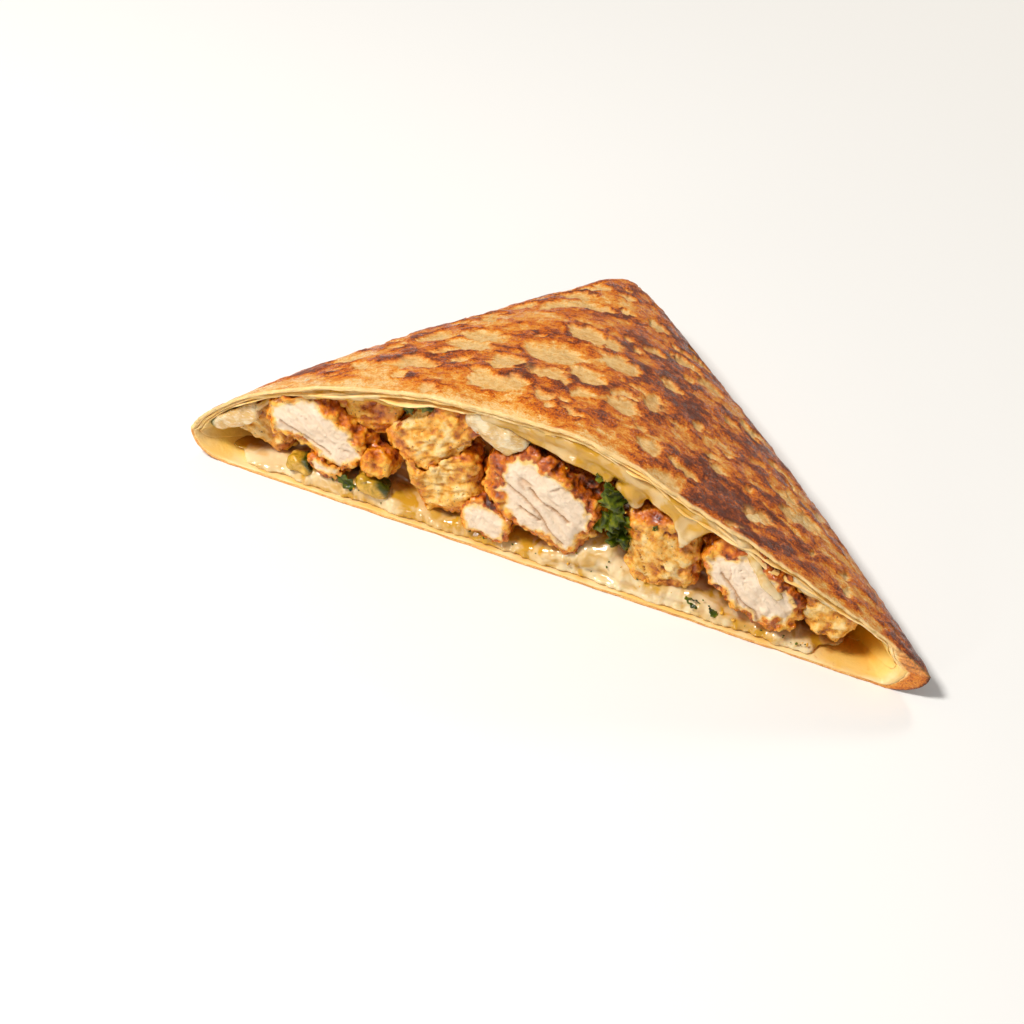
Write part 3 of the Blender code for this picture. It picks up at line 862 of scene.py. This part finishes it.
# Node: kind of surface, the way its fibres run in degrees, how brown it is, and how crusty.
CHICKEN = {
    "chicken_centre": ("sliced", 38, 0.35, 1.0),
    "chicken_right": ("sliced", 48, 0.36, 0.9),
    "chicken_left": ("sliced", 28, 0.20, 0.9),
    "chicken_upper_left": ("torn", -50, 0.30, 0.9),
    "chicken_torn": ("torn", 35, 0.24, 0.6),
    "chicken_pale": ("torn", -20, 0.18, 0.3),
    "chicken_back_left": ("browned", 10, 0.20, 0.8),
    "chicken_left_end": ("torn", 35, 0.24, 0.5),
    "chicken_right_end": ("torn", 10, 0.16, 0.4),
    "chicken_corner": ("sliced", 20, 0.38, 1.0),
    "chicken_nugget_a": ("browned", 0, 0.22, 0.9),
    "chicken_nugget_b": ("sliced", 15, 0.26, 0.8),
    "chicken_behind": ("browned", 0, 0.38, 1.0),
}
# Long splits between the fibres of a sliced face, as places across the cut and up.
SPLITS = {
    "chicken_centre": (((-15, 23.5), (-8, 19.5), (-2, 13.5), (2, 10)), ((-9, 24.5), (-3, 21), (2, 17.5)),
                       ((-11, 17.5), (-5, 15.5))),
    "chicken_right": (((42.5, 17.5), (47, 13), (53, 9), (57.5, 4.5)),
                      ((46.5, 13.5), (48.5, 10.5), (51, 7.5))),
    "chicken_left": (((-76, 19), (-68, 15), (-62, 13)), ((-72, 14), (-66, 12))),
}


def crust_lumps(points, faces, sliced, crusty, rng):
    """Small lumps of crust over a piece, but not over the face that the knife left."""
    a, b, c = points[faces].transpose(1, 0, 2)
    cross = np.cross(b - a, c - a)
    area = np.linalg.norm(cross, axis=1)
    way = cross / np.maximum(area, 1e-9)[:, None]
    front = points[:, 1].min()
    open_side = a[:, 1] < front + CRUST_DEPTH
    if sliced:
        open_side &= ~((way[:, 1] < -0.75) & (a[:, 1] < front + 1.2))
    else:
        open_side &= ~((way[:, 1] < -0.5) & (rng.random(len(way)) < 0.8))
    chance = area * open_side
    count = int(crusty * chance.sum() / 2 / CRUST_AREA)
    picked = rng.choice(len(faces), count, p=chance / chance.sum())
    r, s = np.sqrt(rng.random(count)), rng.random(count)
    spot = (1 - r)[:, None] * a[picked] + (r * (1 - s))[:, None] * b[picked] + (r * s)[:, None] * c[picked]
    size = 0.55 + 1.3 * rng.random(count) ** 2.6
    shapes = []
    for centre, radius, normal in zip(spot, size, way[picked]):
        radii = radius * rng.uniform(0.7, 1.4, 3)
        middle = centre - normal * radius * 0.3
        if sliced:
            middle[1] = max(middle[1], front + radii[1] * 0.8)
        shapes.append((BALL[0] * radii + middle, BALL[1]))
    return shapes


def line_distance(points, stops):
    """How far each point is, seen from the front, from a bent line through stops of (across, up)."""
    spot = points[:, [0, 2]] - (MIDDLE_X, 0)
    near = np.full(len(points), 99.0)
    for first, second in zip(stops, stops[1:]):
        first, way = np.array(first, float), np.subtract(second, first)
        t = np.clip(((spot - first) @ way) / (way @ way), 0, 1)
        near = np.minimum(near, np.linalg.norm(spot - first - t[:, None] * way, axis=1))
    return near


def rim_distance(points, face):
    """For each point of the knife's face, how far it is from the nearest point that isn't on that face."""
    others = np.flatnonzero(~face & (points[:, 1] < points[face][:, 1].max() + 3))
    tree = kdtree.KDTree(len(others))
    for number, index in enumerate(others):
        tree.insert(points[index], number)
    tree.balance()
    far = np.zeros(len(points))
    for index in np.flatnonzero(face):
        far[index] = tree.find(points[index])[2]
    return far


def fibres(node, points, way, order):
    """Strands of meat that run one way, from about -1 to 1, and the splits between them, from 0 to 1."""
    a = math.radians(way)
    along = points[:, 0] * math.cos(a) - points[:, 2] * math.sin(a)
    over = points[:, 0] * math.sin(a) + points[:, 2] * math.cos(a)
    bend = 1.6 * noise(points, 11, order)
    fibre = np.stack([along / 7, points[:, 1] / 3, (over + bend) / 1.3], -1)
    strands = noise(fibre, 1.0, order) * 0.6 + noise(fibre * 2.1, 1.0, order + 50) * 0.4
    split_at = np.abs(noise(fibre * (0.55, 0.5, 0.28), 1.0, order + 80))
    split = 0.7 * (1 - smoothstep(0.0, 0.03, split_at)) * smoothstep(0.0, 0.3, noise(points, 8, order + 90))
    warp = points + noises(points, (0.5, 6, order + 95), (0.15, 1.5, order + 96))[:, None]
    for stops in SPLITS.get(node, ()):
        split = np.maximum(split, 1 - smoothstep(0.05, 0.5, line_distance(warp, stops)))
    return strands, split


def bare_meat(kind, points, normals, order):
    """How white and how torn the meat is at each point, and how near it is to the torn part's edge."""
    none = np.zeros(len(points))
    if kind == "sliced":
        face = (normals[:, 1] < -0.72) & (points[:, 1] < points[:, 1].min() + 2.2)
        uneven = noises(points, (0.9, 2.6, order + 30), (0.4, 1.1, order + 31))
        return smoothstep(0.2, 2.4, rim_distance(points, face) + uneven), none, none
    out = np.hypot(*inside_box(points)[:, [0, 2]].T) + 0.25 * noise(points, 5, order + 33)
    inner = smoothstep(0.85, 0.6, out + 0.12 * noise(points, 2, order + 34))
    torn = (kind == "torn") * smoothstep(-0.1, -0.55, normals[:, 1]) * inner
    return none, torn, 0.55 * smoothstep(0.45, 0.85, out)


def chicken(node, order):
    """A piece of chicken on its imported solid, with its crust, torn or cut meat and fibres."""
    kind, way, brown, crusty = CHICKEN[node]
    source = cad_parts[node].data
    points, faces = points_of(source), triangles_of(source)
    rng = np.random.default_rng(100 + order)
    crust = crust_lumps(points, faces, kind == "sliced", crusty, rng)
    mesh = fused(node + "_cooked", [(points, faces), *crust], CHICKEN_NET, 1)
    points, normals = points_of(mesh), normals_of(mesh)
    strands, split = fibres(node, points, way, order)
    meat, torn, edging = bare_meat(kind, points, normals, order)
    lumps = layered(points, 3.2, order + 20, 3)
    grit = noises(points, (0.6, 1.6, order + 24), (0.4, 0.9, order + 25))
    pits = smoothstep(0.12, 0.45, noise(points, 2.3, order + 26))
    rough = 0.50 * lumps + 0.50 * grit - 0.45 * pits
    ragged = 0.75 * strands - 0.9 * split + 0.55 * lumps + 0.22 * grit - 0.12 * pits
    smooth = 0.48 * strands - 0.7 * split - 0.25 + 0.12 * grit + 0.25 * lumps
    push(mesh, rough * (1 - torn) * (1 - meat) + ragged * torn * (1 - meat) + smooth * meat)
    upward = smoothstep(0, 1, normals[:, 2])
    # painted light and shade over the browning: darker in pits and between lumps and grains, lighter on their
    # tops
    toast = brown + 0.25 * upward - 0.35 * grit - 0.3 * lumps + 0.25 * pits
    toast = np.clip(toast + 0.4 * noise(points, 5, order + 36), 0, 1)
    # painted shade: the torn meat is darker in its hollows, between strands and in pits, and browner towards
    # its rim
    crevice = np.clip(0.12 + edging - 0.5 * lumps - 0.35 * strands + 0.12 * pits, 0, 1) * torn
    crease = np.clip(split * np.maximum(meat, torn) * 0.9 + crevice, 0, 1)
    # painted shade: the white meat darkens in the grooves between its raised strands
    strand_shade = np.clip(0.5 - 0.9 * strands, 0, 1)
    paint(mesh, meat=meat, torn=torn * (1 - meat), crease=crease, strand=strand_shade, toast=toast)
    return object_of(node + "_cooked", mesh)


# ---- Melted cheese ----

CHEESE_NET = 0.65
CORE_STATIONS = 60
CORE_FRONT = 10.0
END_HOLLOW = 24.0
CORE_INSET = 3.0
HOLLOW_LEFT, HOLLOW_RIGHT = 80.0, 70.0
# Where the top of the pool along the foot of the cut stands, as across the cut and up.
POOL_TOP = ((-92, 2.6), (-84, 3.2), (-76, 4.2), (-66, 6.0), (-58, 5.6), (-50, 6.4), (-43, 5.7),
            (-31, 4.6), (-24, 5.7), (-12, 4.7), (-3, 5.6), (4.7, 9.5), (9.7, 12.6), (13.7, 12.6),
            (16.7, 10), (24, 7), (38, 8), (44, 4.5), (70, 4.4), (80, 3))
# The pool's two ends and the step between its lumps, and the height of its underside.
POOL_SPAN = (-88, 75, 2.6)
POOL_LOW = 1.3
# How far under the roof the long drape's lower edge hangs, as across the cut and down.
DRAPE = ((-24, 1.6), (-14, 3.0), (-6, 4.2), (2, 5.0), (10, 5.2), (24, 5.0), (31, 4.6), (38, 3.8), (46, 2.6))


def cheese_core():
    """The mass of cheese that fills the fold behind the cut, standing further back at its two ends."""
    half = CORE_STATIONS
    ring = Ring(half, half)
    x = ring.u * HALF_CUT
    ends = np.maximum(smoothstep(HOLLOW_LEFT, HALF_CUT, -x), smoothstep(HOLLOW_RIGHT, HALF_CUT, x))
    front = CORE_FRONT + END_HOLLOW * ends
    depths = [0, *depth_rows(CAVITY_END - 1, 16, 5)]
    rows = np.stack([ring.row(np.maximum(front, d), CORE_INSET, CAVITY_END) for d in depths])
    tip = rows.shape[0] * ring.count
    far_point = (MIDDLE_X + TIP_SHIFT * CAVITY_END / DEPTH, CUT_Y + CAVITY_END - 1, FOLD_MIDDLE)
    points = np.concatenate([rows.reshape(-1, 3), [far_point]])
    quads = ring_faces(len(rows), ring.count)
    i = np.arange(ring.count)
    final = tip - ring.count
    last = np.stack([final + i, final + (i + 1) % ring.count, np.full(ring.count, tip)], -1)
    top, low = np.arange(half + 1), np.array([0, *range(ring.count - 1, half, -1), half])
    wall = np.concatenate([np.stack([top[:-1], low[:-1], low[1:]], -1),
                           np.stack([top[:-1], low[1:], top[1:]], -1)])
    wall = wall[[len(set(face)) == 3 for face in wall]]
    return points, np.concatenate([quads[:, [0, 1, 2]], quads[:, [0, 2, 3]], last, wall])


def pool_top(x):
    """How high the pool of cheese stands at x across the cut."""
    return np.interp(x, *zip(*POOL_TOP))


def cheese_pool():
    """The cream-coloured cheese that has run together along the foot of the cut."""
    rng = np.random.default_rng(31)
    shapes = []
    low = POOL_LOW
    for x in np.arange(*POOL_SPAN):
        taper = float(smoothstep(-94, -72, x) * smoothstep(78, 60, x))
        top = low + 1.2 + (pool_top(x) - low - 1.2 + rng.uniform(-0.5, 0.5)) * taper
        behind = 7.4 + 5.5 * (1 - taper) + rng.uniform(-0.5, 0.6)
        shapes.append(lump((x, behind, (top + low) / 2), (3.6, 6.6, (top - low) / 2)))
        if taper > 0.5:
            shapes.append(lump((x, 6.6, 1.7), (3.4, 6.5 + rng.uniform(-0.4, 0.3), 1.5)))
    return shapes


def hung(stops, depth, radius, flat=1.3):
    """A roll of cheese under the roof: stops are across the cut and how far down its lower edge hangs."""
    places = [(x, roof(x, depth)) for x, down in stops]
    highs = [min(top - down + radius, top + 1.6 - radius) for (x, top), (_, down) in zip(places, stops)]
    return strand([(x, depth, high, radius) for (x, top), high in zip(places, highs)], flat)


def cheese_drapes():
    """What hangs from the roof of the fold: a long drape, a lump, a curtain and some drips."""
    shapes = []
    shapes += hung(DRAPE, 5.2, 2.6, 1.7)
    shapes += hung([(x, down - 1.8) for x, down in DRAPE], 2.9, 1.8)
    shapes += strand([(-21, 4, 38.6, 1.3), (-10, 3, 37.6, 1.5), (1, 2.6, 35.6, 1.6),
                      (9, 3, 33.4, 1.5)], 1.2)
    shapes.append(lump((16.4, 4.0, 31.0), (4.0, 3.4, 3.4), 20))
    shapes.append(lump((17.4, 3.6, 28.2), (2.4, 2.0, 2.0)))
    shapes.append(lump((12.8, 4.2, 31.4), (1.8, 1.8, 1.6)))
    shapes += strand([(22, 3, 32, 1.9), (28, 1.6, 29.6, 1.4), (30.6, 0.9, 25.2, 1.1), (31, 0.8, 21.2, 0.7)])
    shapes += strand([(37, 2.5, 30, 1.8), (33.6, 1.3, 26.4, 1.2), (31.6, 0.9, 22, 0.8)])
    shapes.append(lump((31.6, 2.2, 28.4), (3.6, 0.9, 2.6), 10))
    shapes.append(lump((31.2, 1.5, 25.2), (2.0, 0.7, 2.6)))
    shapes += strand([(47, 2.4, 27, 1.4), (50.6, 0.7, 23.6, 1.5), (54.2, 0.0, 19.6, 1.9),
                      (57.8, 0.1, 16.8, 1.5)], 0.8)
    shapes += hung([(60, 3.4), (66, 4.0), (71, 3.8), (75, 3.0)], 3.8, 1.8)
    shapes += hung([(-71, 1.2), (-63, 2.4), (-56, 2.0)], 4.6, 2.4, 1.5)
    shapes += strand([(-78, 5, 23.4, 1.8), (-81, 3.6, 21.4, 1.4), (-83.4, 3, 18.8, 1.2)])
    shapes += hung([(-56, 2.6), (-51, 4.4), (-46, 4.6), (-42, 3.0)], 4.4, 1.8, 1.2)
    shapes += hung([(-40, 2.4), (-34, 3.4), (-28, 2.6), (-22, 1.6)], 6.5, 2.2, 1.3)
    return shapes


def cheese():
    mesh = fused("cheese_melt", [cheese_core(), *cheese_pool(), *cheese_drapes()], CHEESE_NET, 5)
    points = points_of(mesh)
    behind = points[:, 1] - CUT_Y
    slump = noises(points, (0.55, 8, 130), (0.28, 3.6, 131), (0.06, 1.7, 132))
    push(mesh, slump)
    high = smoothstep(20, 34, points[:, 2])
    near_foot = smoothstep(12, 3, points[:, 2])
    spots = 0.5 * smoothstep(0.0, 0.4, noise(points, 4.2, 134)) * near_foot
    # yellower and darker on the left of the foot: oil, and painted shade where the pool lies in shadow
    oil_and_shade = smoothstep(4, -8, points[:, 0]) * smoothstep(-48, -34, points[:, 0])
    yellow = high * 0.65 + 0.4 * noise(points, 9, 133) + spots + 0.5 * oil_and_shade * near_foot
    # painted shade: darker further behind the cut, between the pieces, less at the two ends
    deep = smoothstep(5.5, 11, behind) * (1 - 0.35 * smoothstep(60, 80, np.abs(points[:, 0])))
    paint(mesh, yellow=np.clip(yellow, 0, 1), deep=deep)
    return object_of("cheese_melt", mesh)


# ---- Onion, pepper and herbs ----

def vegetable(node, name, net, salt, green):
    """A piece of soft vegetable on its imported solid, gently uneven."""
    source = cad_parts[node].data
    mesh = fused(name, [(points_of(source), triangles_of(source))], net, 4)
    points = points_of(mesh)
    push(mesh, noises(points, (0.5, 4, salt), (0.25, 1.8, salt + 1)))
    paint(mesh, green=green(points))
    return object_of(name, mesh)


LEAF_ACROSS, LEAF_ALONG = 9, 22
LEAF_THICKNESS = 0.32


def leaf_blade(centre, length, wide, turn, lean, teeth, curl, seed):
    """A curled toothed leaf blade with a little thickness, as points and quads."""
    rng = np.random.default_rng(seed)
    across, along = LEAF_ACROSS, LEAF_ALONG
    s = np.linspace(-1, 1, across)
    t = np.linspace(0, 1, along)
    tt, ss = np.meshgrid(t, s, indexing="ij")
    outline = wide * np.clip(np.sin(math.pi * (0.1 + 0.86 * tt) ** 0.8), 0.06, 1)
    outline = outline * (1 + 0.24 * np.cos(2 * math.pi * teeth * tt))
    x = ss * outline
    z = (tt - 0.5) * length
    phase = rng.uniform(0, 6)
    y = curl * (0.8 * np.cos(2.4 * ss + phase) + 0.7 * np.sin(6 * tt + 2 * ss + phase) - 0.5 * ss ** 2)
    sheet = np.stack([x, y, z], -1).reshape(-1, 3)
    turning = Matrix.Rotation(math.radians(turn), 3, "Y") @ Matrix.Rotation(math.radians(lean), 3, "Z")
    sheet = sheet @ np.array(turning).T
    row, column = np.mgrid[:along - 1, :across - 1].reshape(2, -1)
    a = row * across + column
    front = np.stack([a, a + 1, a + across + 1, a + across], -1)
    n = len(sheet)
    rim = [*range(across), *range(2 * across - 1, n, across), *range(n - 2, n - across - 1, -1),
           *range(n - 2 * across, 0, -across)]
    rim_quads = np.array([(k, after, after + n, k + n) for k, after in zip(rim, rim[1:] + rim[:1])])
    thick = np.array(turning) @ np.array([0, LEAF_THICKNESS, 0])
    points = np.concatenate([sheet, sheet + thick]) + place(centre)
    return points, np.concatenate([front[:, ::-1], front + n, rim_quads])


def leafy(name, blades):
    mesh = mesh_of(name, *joined([leaf_blade(*blade) for blade in blades]))
    mesh.flip_normals()
    return object_of(name, mesh)


PARSLEY_BLADES = (
    ((11.4, 2.2, 27.8), 7.5, 3.2, -24, 10, 4, 1.3, 1),
    ((12.6, 2.8, 23.6), 9.5, 3.6, 24, -20, 5, 1.4, 2),
    ((16.0, 2.4, 20.6), 8.5, 3.2, -42, 25, 4, 1.4, 3),
    ((15.2, 3.4, 17.2), 7.5, 2.8, -8, 0, 4, 1.1, 4),
    ((10.2, 3.0, 20.6), 7, 2.6, 50, 10, 4, 1.2, 12),
    ((10.0, 1.8, 31.4), 4.4, 1.1, -28, 0, 3, 0.5, 5),
    ((17.6, 2.8, 15.6), 4.6, 1.8, 15, 10, 3, 0.7, 6),
)
HERB_BLADES = (
    ((-40.6, 2.6, 37.6), 6.5, 2.0, -66, 12, 4, 0.6, 7),
    ((-44.4, 3.0, 34.2), 4.2, 1.5, -30, 0, 3, 0.5, 8),
    ((7.2, 1.2, 33.6), 2.6, 0.8, -40, 0, 2, 0.3, 9),
    ((24.0, 0.6, 24.6), 1.9, 0.6, 20, 0, 2, 0.2, 13),
    ((37.4, 1.2, 5.4), 4.2, 1.2, -70, 0, 3, 0.4, 10),
    ((43.2, 1.0, 4.4), 3.0, 0.8, -50, 0, 3, 0.3, 14),
    ((-57.0, 1.2, 6.4), 6, 1.7, -60, 10, 3, 0.4, 11),
)


# ---- Crumbs and flecks ----

def scattered(name, spots, low, high, flat, seed):
    """Small uneven grains at these places, each turned its own way, as one mesh."""
    rng = np.random.default_rng(seed)
    shapes = []
    for spot in spots:
        radii = rng.uniform(low, high) * rng.uniform(0.6, 1.3, 3) * (1, flat, 1)
        bumpy = BALL[0] * (1 + 0.25 * rng.uniform(-1, 1, (len(BALL[0]), 1)))
        turning = Matrix.Rotation(rng.uniform(0, 6.28), 3, Vector(rng.normal(size=3)).normalized())
        shapes.append(((bumpy * radii) @ np.array(turning).T + place(spot), BALL[1]))
    return object_of(name, mesh_of(name, *joined(shapes)))


# Specks on the cheese by the parsley, as places across the cut and up.
SPECKS = ((2.7, 11), (3.7, 9), (5.7, 8), (6.7, 7), (15.7, 25.5), (-1.3, 33), (28.2, 4.8), (31.7, 5.7))


def fleck_spots(count, seed):
    """Places for flecks of herb and pepper over the cheese at the foot, and a few set ones."""
    rng = np.random.default_rng(seed)
    spots = [(x, 1.6, z) for x, z in SPECKS]
    for x in rng.uniform(-72, 70, count):
        spots.append((x, 1.5 + rng.uniform(-0.3, 0.6), rng.uniform(2.6, pool_top(x))))
    return spots


# ---- Put together ----

def finish_piece(piece, material, slot, *nodes):
    piece.data.materials.append(material)
    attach(piece, "root")
    if nodes:
        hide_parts(*nodes)


def plain_skin(points):
    return np.zeros(len(points))


def green_tip(points):
    """The green end of the strip of onion in the left end of the fold."""
    return smoothstep(0.12, 0.03, (points[:, 0] - points[:, 0].min()) / np.ptp(points[:, 0]))


def skin_side(points):
    """The dark skin of a strip of pepper, on its upper right side."""
    across, _, up = inside_box(points).T
    return smoothstep(0.35, 0.7, 0.8 * across + 0.5 * up)


# Node, piece, slot, net, salt and what is green on it.
VEGETABLES = (
    ("onion_slice", "onion_lump", "onion", 0.45, 150, plain_skin),
    ("onion_strip", "onion_curl", "onion", 0.45, 155, green_tip),
    ("pepper_left", "pepper_left_cooked", "pepper", 0.35, 160, skin_side),
    ("pepper_middle", "pepper_middle_cooked", "pepper", 0.35, 163, skin_side),
)
# Piece, how many places and their seed, then the grains' smallest and largest radius, flatness and seed.
GRAINS = (
    ("herb_flecks", (34, 4), (0.16, 0.38, 0.5, 12)),
    ("crust_crumbs", (16, 6), (0.2, 0.5, 0.9, 13)),
)


def build_food():
    browned, pale, meat = browned_crepe(), pale_crepe(), cooked_chicken()
    finish_piece(outer_sheet(), browned, "crepe", "crepe_sheet")
    finish_piece(inner_sheet(), pale, "crepe")
    finish_piece(lining_sheet(), pale, "crepe")
    for order, node in enumerate(CHICKEN):
        finish_piece(chicken(node, order), meat, "chicken", node)
    finish_piece(cheese(), melted_cheese(), "cheese", "melted_cheese")
    skins, herb = {"onion": cooked_onion(), "pepper": cooked_pepper()}, cooked_herb()
    for node, piece, slot, net, salt, green in VEGETABLES:
        finish_piece(vegetable(node, piece, net, salt, green), skins[slot], slot, node)
    finish_piece(leafy("parsley_leaves", PARSLEY_BLADES), herb, "herb", "parsley_sprig")
    finish_piece(leafy("herb_leaves", HERB_BLADES), herb, "herb")
    for (name, places, grains), look, slot in zip(GRAINS, (herb, meat), ("herb", "chicken")):
        finish_piece(scattered(name, fleck_spots(*places), *grains), look, slot)


# ---- Floor, lamps and camera ----

FLOOR_REACH = 3000
ROOM_LIGHT = 0.24
LAMPS_AIM = Vector((0, 0, 0.02))
# Name, place and side in metres, power in watts, and colour.
LAMPS = (
    ("key", (-0.45, -0.45, 0.80), 0.20, 10.2, (1.0, 0.965, 0.915)),
    ("back", (0.15, 0.75, 0.55), 0.18, 1.8, (1.0, 0.91, 0.78)),
    ("fill", (-0.20, -0.90, 0.22), 0.10, 0.7, (1.0, 0.975, 0.94)),
)


def studio():
    """A plain pale floor, light from above on the left, and a weaker one behind for the gloss on top."""
    scene = bpy.context.scene
    scene.view_settings.view_transform = "Standard"
    world = bpy.data.worlds.new("room")
    world.use_nodes = True
    room = world.node_tree.nodes["Background"].inputs
    room["Color"].default_value = (1.0, 1.0, 1.0, 1)
    room["Strength"].default_value = ROOM_LIGHT
    scene.world = world
    corners = np.array([(-1, -1, 0), (1, -1, 0), (1, 1, 0), (-1, 1, 0)], float) * FLOOR_REACH
    floor = object_of("floor", mesh_of("floor", corners, [[0, 1, 2, 3]]))
    plain = Finish("pale floor", roughness=0.7)
    floor.data.materials.append(plain.set(base_color=(0.94, 0.94, 0.93)))
    for name, spot, size, power, colour in LAMPS:
        lamp = bpy.data.lights.new(name, "AREA")
        lamp.size, lamp.energy, lamp.color = size, power, colour
        holder = linked(name, lamp)
        holder.location = spot
        holder.rotation_euler = (LAMPS_AIM - Vector(spot)).to_track_quat("-Z", "Y").to_euler()


AZIMUTH, ELEVATION, ROLL = 10.0, 36.8, 12.3
CAMERA_DISTANCE = 0.6596
CAMERA_TARGET = (-0.0083, -0.0165, 0.018)
LENS, SENSOR_WIDTH = 87.9, 36
LENS_SHIFT = (-0.0615, -0.086)


def camera():
    """A long lens a little above and to the right of the cut, rolled so that the cut falls to the right."""
    a, e, r = (math.radians(angle) for angle in (AZIMUTH, ELEVATION, ROLL))
    back = Vector((math.sin(a) * math.cos(e), -math.cos(a) * math.cos(e), math.sin(e)))
    right = Vector((math.cos(a), math.sin(a), 0))
    up = back.cross(right)
    side = right * math.cos(r) + up * math.sin(r)
    over = up * math.cos(r) - right * math.sin(r)
    lens = bpy.data.cameras.new("camera")
    lens.lens, lens.sensor_width = LENS, SENSOR_WIDTH
    lens.shift_x, lens.shift_y = LENS_SHIFT
    holder = linked("camera", lens)
    turned = Matrix((side, over, back)).transposed().to_4x4()
    turned.translation = Vector(CAMERA_TARGET) + back * CAMERA_DISTANCE
    holder.matrix_world = turned
    bpy.context.scene.camera = holder


camera()
build_food()
studio()
